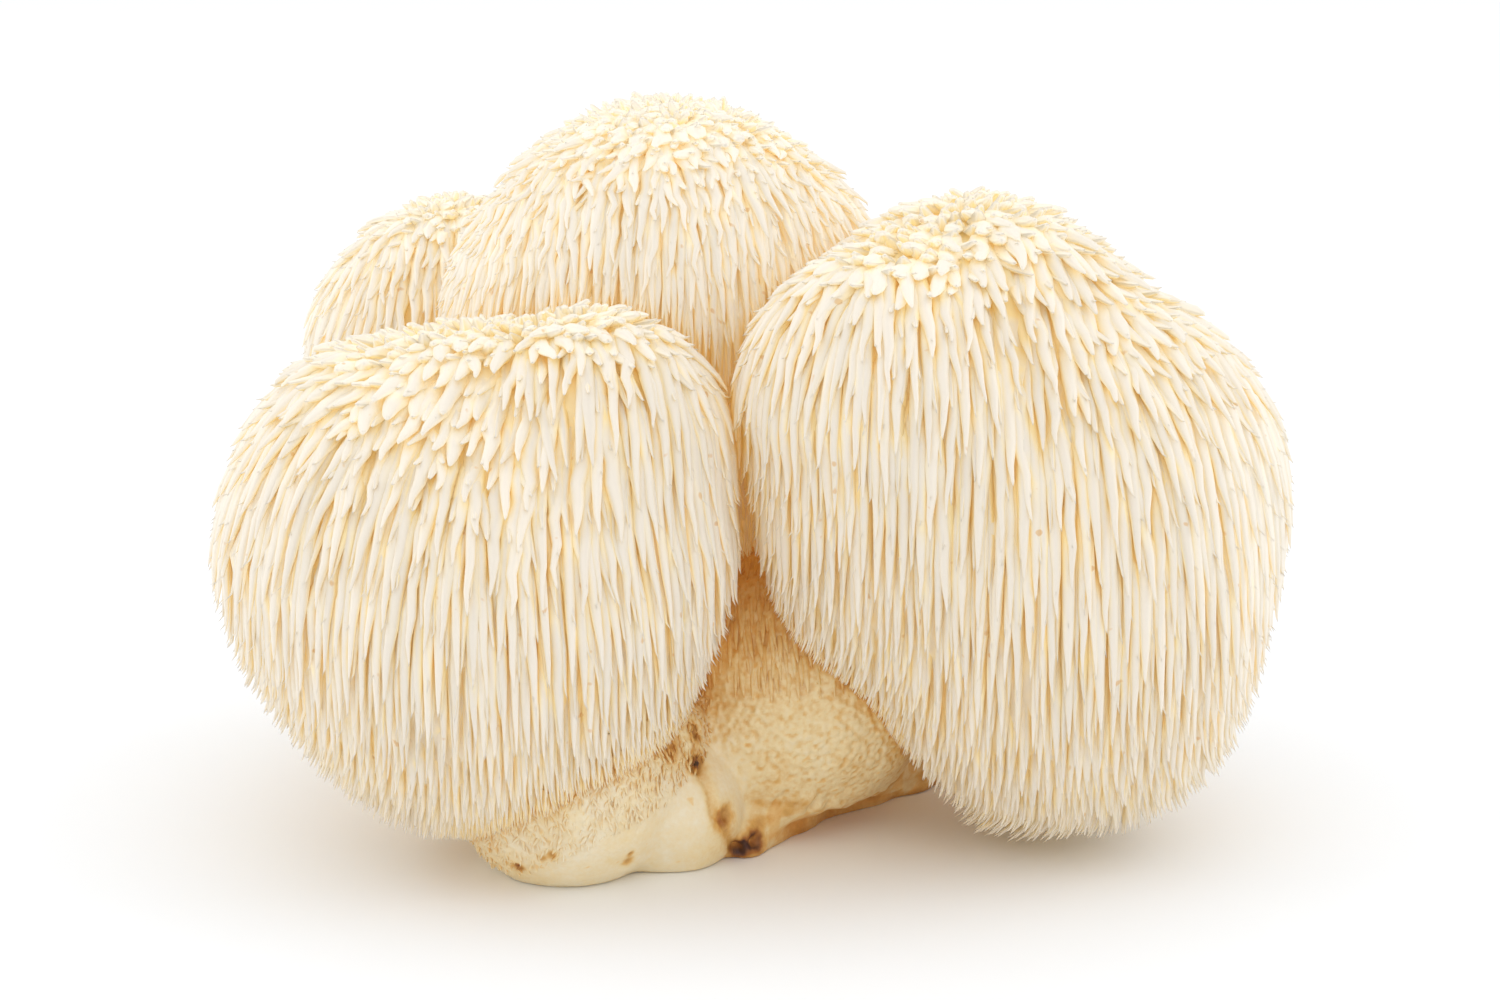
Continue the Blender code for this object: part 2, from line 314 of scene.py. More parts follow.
def grow(name, lobe, neighbours, seed, under=False):
    """Everything needed to model a lobe's spines: paths, radii, tints and the painted light on their
    gaps.
    """
    chance = np.random.default_rng(seed)
    form = lobe["form"]
    tips = scattered_tips(lobe, neighbours, chance, UNDER_THIN if under else 1.0)
    count = len(tips)
    normals = outward(tips, form)
    slope = slope_of(normals)
    shorter, slimmer = foot_fade(tips)
    lengths = np.interp(slope, SLOPES, SPINE_LENGTH) * lobe["long"]
    lengths *= chance.uniform(0.85, 1.15, count) * shorter
    radii = np.interp(slope, SLOPES, SPINE_RADIUS) * lobe["coarse"]
    radii *= chance.uniform(0.78, 1.12, count) * slimmer
    if under:
        start = chance.uniform(*UNDER_DEPTH, count)
    else:
        lift = np.interp(slope, SLOPES, LIFT) * shorter
        start = 0.4 - lift * chance.random(count) ** 1.5
    rise = np.interp(slope, SLOPES, RISE)
    across = unit(np.cross(normals, fall_way(tips, form)))
    loose = np.interp(slope, (0, 40, 80, 110), (0.2, 0.14, 0.035, 0.015)) * (1 + lobe["wavy"])
    lean = loose * (chance.normal(0, 0.8, count) + 1.2 * soft_noise(tips, 16.0, seed))
    below = np.interp(slope, HANG_SLOPES, HANG) * chance.uniform(0.2, 1.0, count) * shorter
    tips = tips - UP * below[:, None]
    tips[:, 2] = np.maximum(tips[:, 2], 0.5)
    path = climb(tips, lengths, radii, start, rise, across * lean[:, None], form)
    flesh = np.interp(slope, SLOPES, FLESH_DEPTH) + (1.0 if under else 0.0)
    path = trimmed(path, flesh, form, neighbours)[:, ::-1]
    along = np.linspace(0, 1, FALL_STEPS + 1)
    lengths = np.linalg.norm(np.diff(path, axis=1), axis=2).sum(axis=1)
    radii = np.minimum(radii, lengths * 0.22)
    petal = smooth_step(-slope, -62.0, -22.0)
    wavy = lobe["wavy"] * (1 - smooth_step(slope, 70.0, 105.0))[:, None]
    size = np.interp(slope, (20, 60, 110), (0.36, 0.26, 0.06))[:, None] + 0.30 * wavy
    size = size * chance.uniform(0.2, 1.0, (count, 1))
    turns = along * lengths[:, None] / (10.0 - 3.5 * wavy) + chance.random((count, 1))
    curl = size * 1.4 * chance.normal(0, 1, (count, 1)) * along ** 3
    path = path + across[:, None, :] * (size * np.sin(2 * math.pi * turns) + curl)[..., None]
    flare = np.interp(slope, (0, 60, 95), (1.0, 0.7, 0.0)) * FLARE * (0.5 + lobe["wavy"])
    flare = (flare * chance.random(count) ** 2)[:, None] * along ** 3
    turns = turns * 1.3 + chance.random((count, 1))
    bumps = 0.5 * wavy * size * np.sin(2 * math.pi * turns)
    path = path + normals[:, None, :] * (flare + bumps)[..., None]
    if name == "right_lobe":
        swept = np.clip(10.0 - path[:, :, 2], 0, None) ** 2 * 0.12
        swept *= 1 - smooth_step(path[:, :, 0], 50.0, 85.0)
        path[:, :, 0] -= swept
        path[:, :, 2] = np.maximum(path[:, :, 2], 0.5)
    # Painted light: gaps are painted paler on the crowns, on the thin outer sides and by each lobe's
    # own amount.
    outer = smooth_step(normals[:, 0] * np.sign(tips[:, 0]), 0.5, 0.95)
    group = {"path": path, "radii": radii, "side": across, "petal": petal,
             "tint": chance.random(count), "lengths": lengths,
             "pale": lobe["pale"] + np.maximum(CROWN_PAINTED_LIGHT * petal, EDGE_PAINTED_LIGHT * outer),
             "skin": normals,
             "lumps": chance.normal(0, 1 + wavy, (count, len(STATIONS)))}
    whole = lengths > np.where(shorter < 1, 0.6, SHORTEST)
    return {key: value[whole] for key, value in group.items()}


def chosen_from(group, chosen):
    return {key: value[chosen] for key, value in group.items()}


# ------------------------------------------------------------ the air between the spines
def spine_radius(group, stations):
    """Radius of each spine at the given stations along it."""
    petal = np.interp(stations, STATIONS, PETAL)
    strand = np.interp(stations, STATIONS, STRAND)
    shape = strand + (petal - strand) * group["petal"][:, None]
    knobs = np.stack([np.interp(stations, STATIONS, row) for row in group["lumps"]])
    knobs = 1 + (0.035 + 0.065 * group["petal"][:, None]) * knobs
    return group["radii"][:, None] * shape * knobs


def fill_air(groups):
    """The grid of cells over the whole mushroom, true where there is flesh."""
    cells = np.round((AIR_HIGH - AIR_LOW) / CELL / COARSE).astype(int)
    axes = [low + (np.arange(count) + 0.5) * CELL * COARSE for low, count in zip(AIR_LOW, cells)]
    centres = np.stack(np.meshgrid(*axes, indexing="ij"), axis=-1).reshape(-1, 3)
    solid = distance(centres, FOOT) < -0.6
    for lobe in LOBES.values():
        solid |= distance(centres, lobe["form"]) < -4.5
    filled = solid.reshape(cells)
    for axis in range(3):
        filled = np.repeat(filled, COARSE, axis=axis)
    stations = np.linspace(0, 1, 2 * FALL_STEPS + 1)
    for group in groups:
        path = group["path"]
        places = np.empty((len(path), len(stations), 3))
        places[:, ::2] = path
        places[:, 1::2] = (path[:, 1:] + path[:, :-1]) / 2
        radius = spine_radius(group, stations)
        for thin, thick in zip(RADIUS_STEPS[:-1], RADIUS_STEPS[1:]):
            points = places[(radius >= thin) & (radius < thick)]
            spots = ((points - AIR_LOW) / CELL).astype(int)
            reach = int(thick / CELL) + 1
            around = np.mgrid[-reach:reach + 1, -reach:reach + 1, -reach:reach + 1].reshape(3, -1).T
            around = around[np.linalg.norm(around, axis=1) * CELL < max(thick - 0.15, 0.1)]
            for offset in around:
                spot = spots + offset
                filled[spot[:, 0], spot[:, 1], spot[:, 2]] = True
    return filled


def seen_air(filled, points, normals, steps):
    """The share of open air that each point sees over a run of steps."""
    count = np.arange(WAYS) + 0.5
    tall = 1 - 2 * count / WAYS
    turn = math.pi * (1 + math.sqrt(5)) * count
    wide = np.sqrt(1 - tall ** 2)
    ways = np.stack((np.cos(turn) * wide, np.sin(turn) * wide, tall), axis=1)
    start = points + normals * 0.6
    total = np.full(len(points), 1e-6)
    free = np.zeros(len(points))
    last = np.array(filled.shape) - 1
    for way in ways:
        weight = np.clip(normals @ way, 0, None)
        facing = np.flatnonzero(weight > 0.05)
        clear = np.ones(len(facing), bool)
        for step in steps:
            spot = ((start[facing] + way * step - AIR_LOW) / CELL).astype(int)
            spot = np.clip(spot, 0, last)
            clear &= ~filled[spot[:, 0], spot[:, 1], spot[:, 2]]
        free[facing] += weight[facing] * clear
        total[facing] += weight[facing]
    return free / total


def shade(mesh, points, normals, tint, filled, extra=()):
    """Keep what the materials read: air close by and air further off, by which they paint shade and
    glow, and a tint.
    """
    for label, values in (("near_air", seen_air(filled, points, normals, NEAR_STEPS)),
                          ("far_air", seen_air(filled, points, normals, FAR_STEPS)),
                          ("tint", tint), *extra):
        mesh.attributes.new(label, "FLOAT", "POINT").data.foreach_set("value", values)


# ------------------------------------------------------------ modelling the spines
def spine_pattern(style):
    """One straight closed spine of unit radius, a unit long between its stations."""
    shape = bmesh.new()
    bmesh.ops.create_circle(shape, cap_ends=True, segments=style["sides"], radius=1.0)
    rim = list(shape.edges)
    for _ in style["stations"][1:-1]:
        grown = bmesh.ops.extrude_edge_only(shape, edges=rim)["geom"]
        ring = [piece for piece in grown if isinstance(piece, bmesh.types.BMVert)]
        rim = [piece for piece in grown if isinstance(piece, bmesh.types.BMEdge)
               and piece.verts[0] in ring and piece.verts[1] in ring]
        bmesh.ops.translate(shape, verts=ring, vec=(0, 0, 1))
    tip = bmesh.ops.extrude_edge_only(shape, edges=rim)["geom"]
    ring = [piece for piece in tip if isinstance(piece, bmesh.types.BMVert)]
    bmesh.ops.translate(shape, verts=ring, vec=(0, 0, 1))
    bmesh.ops.pointmerge(shape, verts=ring, merge_co=(0, 0, len(style["stations"]) - 1))
    bmesh.ops.recalc_face_normals(shape, faces=shape.faces)
    shape.verts.index_update()
    corners = np.array([vert.co[:] for vert in shape.verts])
    faces = [[vert.index for vert in face.verts] for face in shape.faces]
    shape.free()
    return corners, faces


def bent_spines(group, style):
    """Corners, normals, softened normals, faces and tints of the spines, each the
    pattern bent along its path."""
    corners, faces = spine_pattern(style)
    path = group["path"]
    count = len(path)
    stations = np.array(STATIONS)[list(style["stations"])]
    position = stations * (path.shape[1] - 1)
    low = np.minimum(position.astype(int), path.shape[1] - 2)
    share = (position - low)[None, :, None]
    line = path[:, low] * (1 - share) + path[:, low + 1] * share
    tangent = unit(np.gradient(line, axis=1))
    side = group["side"][:, None, :]
    across = unit(side - tangent * (side * tangent).sum(axis=-1, keepdims=True))
    out = np.cross(tangent, across)
    radius = spine_radius(group, stations)
    wide = 1 + 0.22 * group["petal"][:, None]
    ring = corners[:, 2].round().astype(int)
    turn = corners[:, :2]
    offset = (across[:, ring] * (radius[:, ring] * wide * turn[:, 0])[..., None]
              + out[:, ring] * (radius[:, ring] / wide * turn[:, 1])[..., None])
    places = (line[:, ring] + offset).reshape(-1, 3)
    facing = unit(offset + tangent[:, ring] * 1e-3)
    follow = SOFTNESS[0] + (SOFTNESS[1] - SOFTNESS[0]) * group["petal"][:, None, None]
    soft = unit(facing + follow * group["skin"][:, None])
    tops = [[corner + len(corners) * index for corner in face]
            for index in range(count) for face in faces]
    return (places, facing.reshape(-1, 3), soft.reshape(-1, 3), tops,
            np.repeat(group["tint"], len(corners)))


def new_piece(name, mesh, material):
    thing = bpy.data.objects.new(name, mesh)
    bpy.context.scene.collection.objects.link(thing)
    mesh.materials.clear()
    mesh.materials.append(material)
    return thing


def model_spines(name, group, style, filled, material, stained_and_shaded=False):
    """Spines joined as one mesh."""
    places, facing, soft, tops, tint = bent_spines(group, style)
    mesh = bpy.data.meshes.new(name)
    mesh.from_pydata((places * MM).tolist(), [], tops)
    mesh.shade_smooth()
    mesh.normals_split_custom_set_from_vertices(soft.tolist())
    # The painted light of each spine, for every corner of it.
    pale = np.repeat(group["pale"], len(places) // len(group["pale"]))
    marks = (("pale", pale), ("stain_and_shade", foot_skin(places)[1])) if stained_and_shaded else (("pale", pale),)
    shade(mesh, places, facing, tint, filled, marks)
    return new_piece(name, mesh, material)


# ------------------------------------------------------------ flesh
def core_shape(shape, form):
    """Add a lobe's core of flesh, under the roots of its spines."""
    made = bmesh.ops.create_icosphere(shape, subdivisions=5, radius=1.0)["verts"]
    directions = np.array([vert.co.normalized()[:] for vert in made])
    points = on_skin(directions, form, 4.5)
    depth = np.interp(slope_of(outward(points, form)), SLOPES, FLESH_DEPTH)
    for vert, point in zip(made, on_skin(directions, form, depth)):
        vert.co = Vector(point)


def applied(thing):
    """Apply a thing's modifiers to its mesh."""
    seen = thing.evaluated_get(bpy.context.evaluated_depsgraph_get())
    thing.data = bpy.data.meshes.new_from_object(seen)
    thing.modifiers.clear()
    thing.data.name = thing.name
    return thing


def melt(thing, voxel):
    """Melt overlapping closed shapes into one skin."""
    skin = thing.modifiers.new("melt", "REMESH")
    skin.mode = "VOXEL"
    skin.voxel_size = voxel * MM
    return applied(thing)


def from_shape(name, shape):
    mesh = bpy.data.meshes.new(name)
    bmesh.ops.scale(shape, verts=shape.verts, vec=(MM, MM, MM))
    shape.to_mesh(mesh)
    shape.free()
    thing = bpy.data.objects.new(name, mesh)
    bpy.context.scene.collection.objects.link(thing)
    return thing


def corners_of(mesh):
    """Corners and their normals, in millimetres."""
    places = np.empty(len(mesh.vertices) * 3)
    facing = np.empty(len(mesh.vertices) * 3)
    mesh.vertices.foreach_get("co", places)
    mesh.vertices.foreach_get("normal", facing)
    return places.reshape(-1, 3) / MM, facing.reshape(-1, 3)


def cut_flat(thing, height):
    shape = bmesh.new()
    shape.from_mesh(thing.data)
    everything = list(shape.verts) + list(shape.edges) + list(shape.faces)
    bmesh.ops.bisect_plane(shape, geom=everything, plane_co=(0, 0, height * MM),
                           plane_no=(0, 0, 1), clear_inner=True)
    rim = [edge for edge in shape.edges if edge.is_boundary]
    bmesh.ops.holes_fill(shape, edges=rim, sides=0)
    bmesh.ops.recalc_face_normals(shape, faces=shape.faces)
    shape.to_mesh(thing.data)
    shape.free()


def model_flesh(filled, material):
    shape = bmesh.new()
    for lobe in LOBES.values():
        core_shape(shape, lobe["form"])
    thing = melt(from_shape("lobe_flesh", shape), 2.0)
    thin = thing.modifiers.new("thin", "DECIMATE")
    thin.ratio = 0.5
    applied(thing)
    places, facing = corners_of(thing.data)
    shade(thing.data, places, facing, 0.5 + 0.5 * soft_noise(places, 5.0, 3), filled)
    thing.data.materials.clear()
    thing.data.materials.append(material)
    thing.data.shade_smooth()
    return thing


# The foot's parts, and how their skins differ.
LUMP, MOUND, STRIP, KNOB = FOOT[0:3], FOOT[3:5], FOOT[5:8], FOOT[8:9]
FOOT_VOXEL = 1.35
LUMP_WRINKLES = (0.30, 5.0)      # height and size in millimetres of each kind of roughness
LUMP_GRAIN = (0.07, 1.5)
HEM_GRAIN = (0.34, 1.0)          # the felted band under the front left lobe
HEM_BAND = (1.5, 9.0)
MOUND_LUMPS = (0.55, 6.0)
MOUND_GRAIN = (0.46, 0.95)
MOUND_STREAKS = (0.45, 1.3)
RIM_TEETH = (1.5, 2.4)
STRIP_STREAKS = (0.42, 2.0)
STRIP_SET_BACK = 1.0
UNDERCUT = 4.5                   # how far the strip is hollowed at the floor, and how high up
UNDERCUT_HEIGHT = 6.5
UNDERCUT_FROM = (10.0, 20.0)     # it starts between these places along X
UNDERCUT_TO = (29.0, 38.0)       # and ends between these, in front only
UNDERCUT_BACK = (12.0, 24.0)
# Holes and brown marks: place, radius, depth and darkness, which is brown staining and, in the deeper
# holes, painted shade as well.
HOLES = (
    (6.3, -15.3, 1.6, 1.25, 2.4, 1.15),
    (9.6, -14.3, 2.6, 1.45, 2.6, 1.15),
    (-0.4, -19.0, 18.1, 1.35, 2.0, 1.0),
    (4.7, -19.4, 9.2, 1.9, 1.2, 0.52),
    (-4.5, -22.6, 21.6, 2.3, 0.6, 0.42),
    (-0.8, -17.3, 22.8, 1.5, 1.0, 0.7),
    (-29.5, -30.7, 4.3, 0.9, 0.35, 0.6),
    (-23.9, -34.5, 7.7, 0.8, 0.25, 0.5),
    (-25.2, -33.9, 6.8, 0.6, 0.2, 0.45),
    (-11.1, -29.8, 6.1, 0.6, 0.3, 0.6),
    (-11.6, -28.8, 4.4, 0.9, 0.2, 0.45),
)
CREASE = ((0.1, -19.3, 17.0), (2.5, -21.7, 10.0), (5.3, -16.5, 2.9))
CREASE_WIDTH = 0.8
CREASE_DEPTH = 0.9


def crease_gap(points):
    """How far points are from the crease between the lump and the mound."""
    gaps = []
    for first, last in zip(np.array(CREASE[:-1]), np.array(CREASE[1:])):
        way = last - first
        share = np.clip((points - first) @ way / (way @ way), 0, 1)
        gaps.append(np.linalg.norm(points - first - share[:, None] * way, axis=1))
    return np.min(gaps, axis=0)


def foot_skin(points):
    """How far the foot's skin stands out at points on it, and how stained and painted with shade it is.
    """
    def rough(kind, seed, stretch=(1.0, 1.0, 1.0)):
        return kind[0] * soft_noise(points * np.array(stretch), kind[1], seed)

    near = np.stack([np.exp(-distance(points, part, FOOT_BLEND) / 1.2)
                     for part in (LUMP, MOUND, STRIP, KNOB)])
    lump, mound, strip, knob = near / near.sum(axis=0)
    hem = 1 - smooth_step(distance(points, FRONT_LEFT_LOBE), *HEM_BAND)
    high = smooth_step(points[:, 2], 24.0, 34.0)
    middle_band = 1 - smooth_step(np.abs(points[:, 2] - 24.0), 6.0, 14.0)
    raised = lump * (rough(LUMP_WRINKLES, 1) + rough(LUMP_GRAIN, 2) + hem * rough(HEM_GRAIN, 3))
    raised += mound * (rough(MOUND_LUMPS, 4) + high * rough(MOUND_STREAKS, 5, (1, 1, 0.28)))
    raised += mound * (0.35 + 0.65 * middle_band) * (1 - high) * rough(MOUND_GRAIN, 6)
    raised += 4 * mound * strip * np.abs(rough(RIM_TEETH, 7, (1, 1, 0.6)))
    raised += strip * rough(STRIP_STREAKS, 8, (0.45, 0.45, 1)) + knob * rough(STRIP_STREAKS, 9)
    raised -= STRIP_SET_BACK * strip
    low = 1 - smooth_step(points[:, 2], 0.5, UNDERCUT_HEIGHT)
    low *= smooth_step(points[:, 0], *UNDERCUT_FROM) - smooth_step(points[:, 0], *UNDERCUT_TO)
    low *= 1 - smooth_step(points[:, 1], *UNDERCUT_BACK)
    raised -= UNDERCUT * low * strip
    stain_and_shade = 0.10 + 0.10 * soft_noise(points, 8.0, 10) + 0.06 * soft_noise(points, 2.0, 11)
    # Partly painted shade: the mound, which the lobes keep light from, is painted a darker tan; the
    # strip and the knob are browner.
    stain_and_shade += 0.10 * mound + 0.22 * strip + 0.34 * knob
    # Painted shade: the hollows of the mound's grain are painted darker.
    stain_and_shade += mound * np.clip(-rough((0.30, MOUND_GRAIN[1]), 6), 0, 1)
    streaks = 0.5 * soft_noise(points * np.array((0.5, 0.5, 1)), 2.2, 12)
    stain_and_shade += strip * np.clip(streaks, -0.08, 0.3)
    uneven = 1 + 0.2 * soft_noise(points, 1.1, 13)
    # Holes are painted dark: brown marks, and painted shade in the deeper holes.
    for x, y, z, radius, depth, dark in HOLES:
        apart = np.linalg.norm(points - np.array((x, y, z)), axis=1) / radius * uneven
        raised -= depth * np.exp(-1.3 * apart ** 2)
        stain_and_shade += dark * np.exp(-0.75 * apart ** 2)
    apart = crease_gap(points) / CREASE_WIDTH * uneven
    raised -= CREASE_DEPTH * np.exp(-apart ** 2)
    # Painted shade along the crease.
    stain_and_shade += 0.24 * np.exp(-0.3 * apart ** 2)
    return raised, np.clip(stain_and_shade, 0, 1)


def split_where(shape, chosen):
    """Split the faces of a shape in four where all their corners are chosen."""
    shape.verts.ensure_lookup_table()
    inside = set(np.flatnonzero(chosen).tolist())
    shape.verts.index_update()
    edges = [edge for edge in shape.edges
             if edge.verts[0].index in inside and edge.verts[1].index in inside
             and all(len(face.verts) < 5 for face in edge.link_faces)]
    bmesh.ops.subdivide_edges(shape, edges=edges, cuts=1, use_grid_fill=True)


def model_foot():
    """The foot's shape: its swellings melted together, cut flat and roughened."""
    shape = bmesh.new()
    for x, y, z, radius in FOOT:
        ball = bmesh.ops.create_icosphere(shape, subdivisions=4, radius=radius)["verts"]
        bmesh.ops.translate(shape, verts=ball, vec=(x, y, z))
    thing = melt(from_shape("foot", shape), FOOT_VOXEL)
    cut_flat(thing, 0.0)
    shape = bmesh.new()
    shape.from_mesh(thing.data)
    for finer in (False, True):
        points = np.array([vert.co[:] for vert in shape.verts]) / MM
        seen = np.min([distance(points, lobe["form"]) for lobe in LOBES.values()], axis=0) > -2.5
        if finer:
            seen &= (points[:, 1] < 9.0) & (points[:, 0] > -48.0) & (points[:, 0] < 34.0)
        split_where(shape, seen)
    points = np.array([vert.co[:] for vert in shape.verts]) / MM
    flat = points[:, 2] < 0.01
    start = points.copy()
    for _ in range(4):
        points = points - outward(points, FOOT) * distance(points, FOOT)[:, None]
    raised, _ = foot_skin(points)
    points = points + outward(points, FOOT, 2.0) * raised[:, None]
    points[:, 2] = np.maximum(points[:, 2], 0.05)
    points[flat, 2] = 0.0
    under = flat & (distance(start, FOOT) < -1.5)
    points[under] = start[under]
    for vert, point in zip(shape.verts, points):
        vert.co = Vector(point) * MM
    bmesh.ops.recalc_face_normals(shape, faces=shape.faces)
    shape.to_mesh(thing.data)
    shape.free()
    return thing


def finish_foot(thing, filled, material):
    places, facing = corners_of(thing.data)
    _, stain_and_shade = foot_skin(places)
    shade(thing.data, places, facing, 0.5 + 0.5 * soft_noise(places, 5.0, 3), filled,
          (("stain_and_shade", stain_and_shade),))
    thing.data.materials.clear()
    thing.data.materials.append(material)
    thing.data.shade_smooth()
    return thing


# Short spines on the foot: where they stand, how far apart across and down the
# fall, how long, how thick, and how much they lean.
MOUND_SPINES = {"gaps": (1.05, 2.2), "length": (6.0, 10.0), "radius": (0.48, 0.66), "lean": 0.05}
FRINGE_HAIRS = {"gaps": (0.8, 1.0), "length": (1.2, 2.6), "radius": (0.26, 0.38), "lean": 0.4}


def grow_on_foot(points, kind, seed):
    """Short spines whose tips lie at some of the given points on the foot."""
    chance = np.random.default_rng(seed)
    points = points[chance.permutation(len(points))]
    normals = outward(points, FOOT)
    fall = fall_way(points, FOOT)
    side_gap = np.full(len(points), kind["gaps"][0])
    kept = thinned(points, normals, fall, side_gap, side_gap * kind["gaps"][1] / kind["gaps"][0])
    tips, normals = points[kept], normals[kept]
    count = len(tips)
    across = unit(np.cross(normals, fall[kept]))
    lengths = chance.uniform(*kind["length"], count)
    radii = chance.uniform(*kind["radius"], count)
    leans = across * chance.normal(0, kind["lean"], (count, 1))
    start = -chance.uniform(0.1, 0.7, count)
    path = climb(tips - normals * start[:, None], lengths, radii, start, np.full(count, 0.1),
                 leans, FOOT)[:, ::-1]
    return {"path": path, "radii": radii, "side": across, "petal": np.zeros(count),
            "tint": chance.random(count), "lengths": lengths,
            "pale": np.zeros(count), "skin": normals,
            "lumps": chance.normal(0, 1.5, (count, len(STATIONS)))}


# ------------------------------------------------------------ materials
# Painted shade: spines are painted golden in the gaps between them, where little air is close by, and
# pale cream where open.
GAP_PAINTED_SHADE = ((0.0, (0.95, 0.785, 0.44)), (0.2, (0.93, 0.80, 0.54)),
               (0.5, (0.875, 0.785, 0.625)), (0.9, (0.855, 0.78, 0.668)))
# Painted light: the paler cream painted on crowns, outer sides and paler lobes.
CROWN_PAINTED_LIGHT_COLOUR = (0.915, 0.865, 0.765)
# Painted shade: the golden colour painted into deep clefts, where little air is further off.
CLEFT_PAINTED_SHADE = (0.87, 0.68, 0.22)
# Painted glow: emission standing in for light that reaches deep places through the flesh, by the air
# close by and further off, and for light on the crowns.
NEAR_GLOW = ((0.0, (0.034, 0.028, 0.011)), (0.3, (0.024, 0.020, 0.009)), (0.85, (0.0, 0.0, 0.0)))
CROWN_GLOW = ((0.0, (0.19, 0.162, 0.115)), (0.3, (0.15, 0.13, 0.09)), (0.95, (0.02, 0.017, 0.012)))
FAR_GLOW = ((0.0, (0.045, 0.028, 0.003)), (0.12, (0.008, 0.0055, 0.001)), (0.4, (0.0, 0.0, 0.0)))
SPOT_COLOUR = (0.72, 0.40, 0.10)


def new_material(name):
    material = bpy.data.materials.new(name)
    material.use_nodes = True
    material.cycles.emission_sampling = "NONE"
    nodes = material.node_tree.nodes
    return material, nodes, material.node_tree.links, nodes["Principled BSDF"]


def colour_steps(nodes, source, links, steps):
    """A ramp over a value, as (position, colour) steps."""
    ramp = nodes.new("ShaderNodeValToRGB").color_ramp
    node = nodes[-1]
    while len(ramp.elements) < len(steps):
        ramp.elements.new(0.5)
    for element, (position, colour) in zip(ramp.elements, steps):
        element.position = position
        element.color = (*colour, 1)
    links.new(source, node.inputs["Fac"])
    return node.outputs["Color"]


def blend(nodes, links, factor, first, second, way="MIX"):
    node = nodes.new("ShaderNodeMix")
    node.data_type = "RGBA"
    node.blend_type = way
    sockets = {socket.identifier: socket for socket in node.inputs}
    for socket, value in ((sockets["Factor_Float"], factor), (sockets["A_Color"], first),
                          (sockets["B_Color"], second)):
        if hasattr(value, "is_linked"):
            links.new(value, socket)
        elif isinstance(value, tuple):
            socket.default_value = (*value, 1)
        else:
            socket.default_value = value
    return next(socket for socket in node.outputs if socket.identifier == "Result_Color")


def spread(nodes, links, source, low, high, start, end):
    """Spread a value from one range over another."""
    node = nodes.new("ShaderNodeMapRange")
    links.new(source, node.inputs["Value"])
    node.inputs["From Min"].default_value = low
    node.inputs["From Max"].default_value = high
    node.inputs["To Min"].default_value = start
    node.inputs["To Max"].default_value = end
    return node.outputs["Result"]


def attribute(nodes, name):
    node = nodes.new("ShaderNodeAttribute")
    node.attribute_name = name
    return node.outputs["Fac"]


def grain(nodes, links, size, detail):
    """Noise over Object coordinates, with features of about a size in millimetres."""
    place = nodes.new("ShaderNodeTexCoord")
    node = nodes.new("ShaderNodeTexNoise")
    node.inputs["Scale"].default_value = 1000.0 / size
    node.inputs["Detail"].default_value = detail
    links.new(place.outputs["Object"], node.inputs["Vector"])
    return node.outputs["Fac"]


def summed(nodes, links, first, second):
    node = nodes.new("ShaderNodeMath")
    node.operation = "ADD"
    links.new(first, node.inputs[0])
    links.new(second, node.inputs[1])
    return node.outputs["Value"]


# Painted glow: emission in gaps, in deep clefts and on the crowns, standing in for light through the
# flesh.
def add_glow(nodes, links, shader, strength):
    near = colour_steps(nodes, attribute(nodes, "near_air"), links, NEAR_GLOW)
    crown = colour_steps(nodes, attribute(nodes, "near_air"), links, CROWN_GLOW)
    near = blend(nodes, links, spread(nodes, links, attribute(nodes, "pale"), 0.0, 0.5, 0.0, 1.0),
                 near, crown)
    far = colour_steps(nodes, attribute(nodes, "far_air"), links, FAR_GLOW)
    links.new(blend(nodes, links, 1.0, near, far, "ADD"), shader.inputs["Emission Color"])
    shader.inputs["Emission Strength"].default_value = strength


def spine_material():
    material, nodes, links, shader = new_material("spine_flesh")
    # Painted shade and light: gaps with little air close by are painted golden, less so where painted
    # light lifts them, and crowns and outer sides are painted a paler cream.
    lift = spread(nodes, links, attribute(nodes, "pale"), 0.0, 1.0, 0.0, 0.5)
    light = summed(nodes, links, attribute(nodes, "near_air"), lift)
    colour = colour_steps(nodes, light, links, GAP_PAINTED_SHADE)
    crown = spread(nodes, links, attribute(nodes, "pale"), 0.0, 0.6, 0.0, 1.0)
    colour = blend(nodes, links, crown, colour, CROWN_PAINTED_LIGHT_COLOUR)
    # Painted shade in the deep clefts between lobes.
    deep = spread(nodes, links, attribute(nodes, "far_air"), 0.0, 0.28, 0.9, 0.0)
    colour = blend(nodes, links, deep, colour, CLEFT_PAINTED_SHADE)
    shades = spread(nodes, links, attribute(nodes, "tint"), 0.0, 1.0, 0.955, 1.03)
    both = nodes.new("ShaderNodeCombineColor")
    for socket in both.inputs[:3]:
        links.new(shades, socket)
    colour = blend(nodes, links, 1.0, colour, both.outputs["Color"], "MULTIPLY")
    spots = spread(nodes, links, grain(nodes, links, 1.9, 0.0), 0.81, 0.87, 0.0, 0.6)
    colour = blend(nodes, links, spots, colour, SPOT_COLOUR)
    links.new(colour, shader.inputs["Base Color"])
    add_glow(nodes, links, shader, 1.0)
    rough = spread(nodes, links, grain(nodes, links, 2.5, 2.0), 0.3, 0.7, 0.42, 0.6)
    links.new(rough, shader.inputs["Roughness"])
    bump = nodes.new("ShaderNodeBump")
    bump.inputs["Strength"].default_value = 0.35
    bump.inputs["Distance"].default_value = 0.00012
    links.new(grain(nodes, links, 0.9, 2.0), bump.inputs["Height"])
    links.new(bump.outputs["Normal"], shader.inputs["Normal"])
    return material


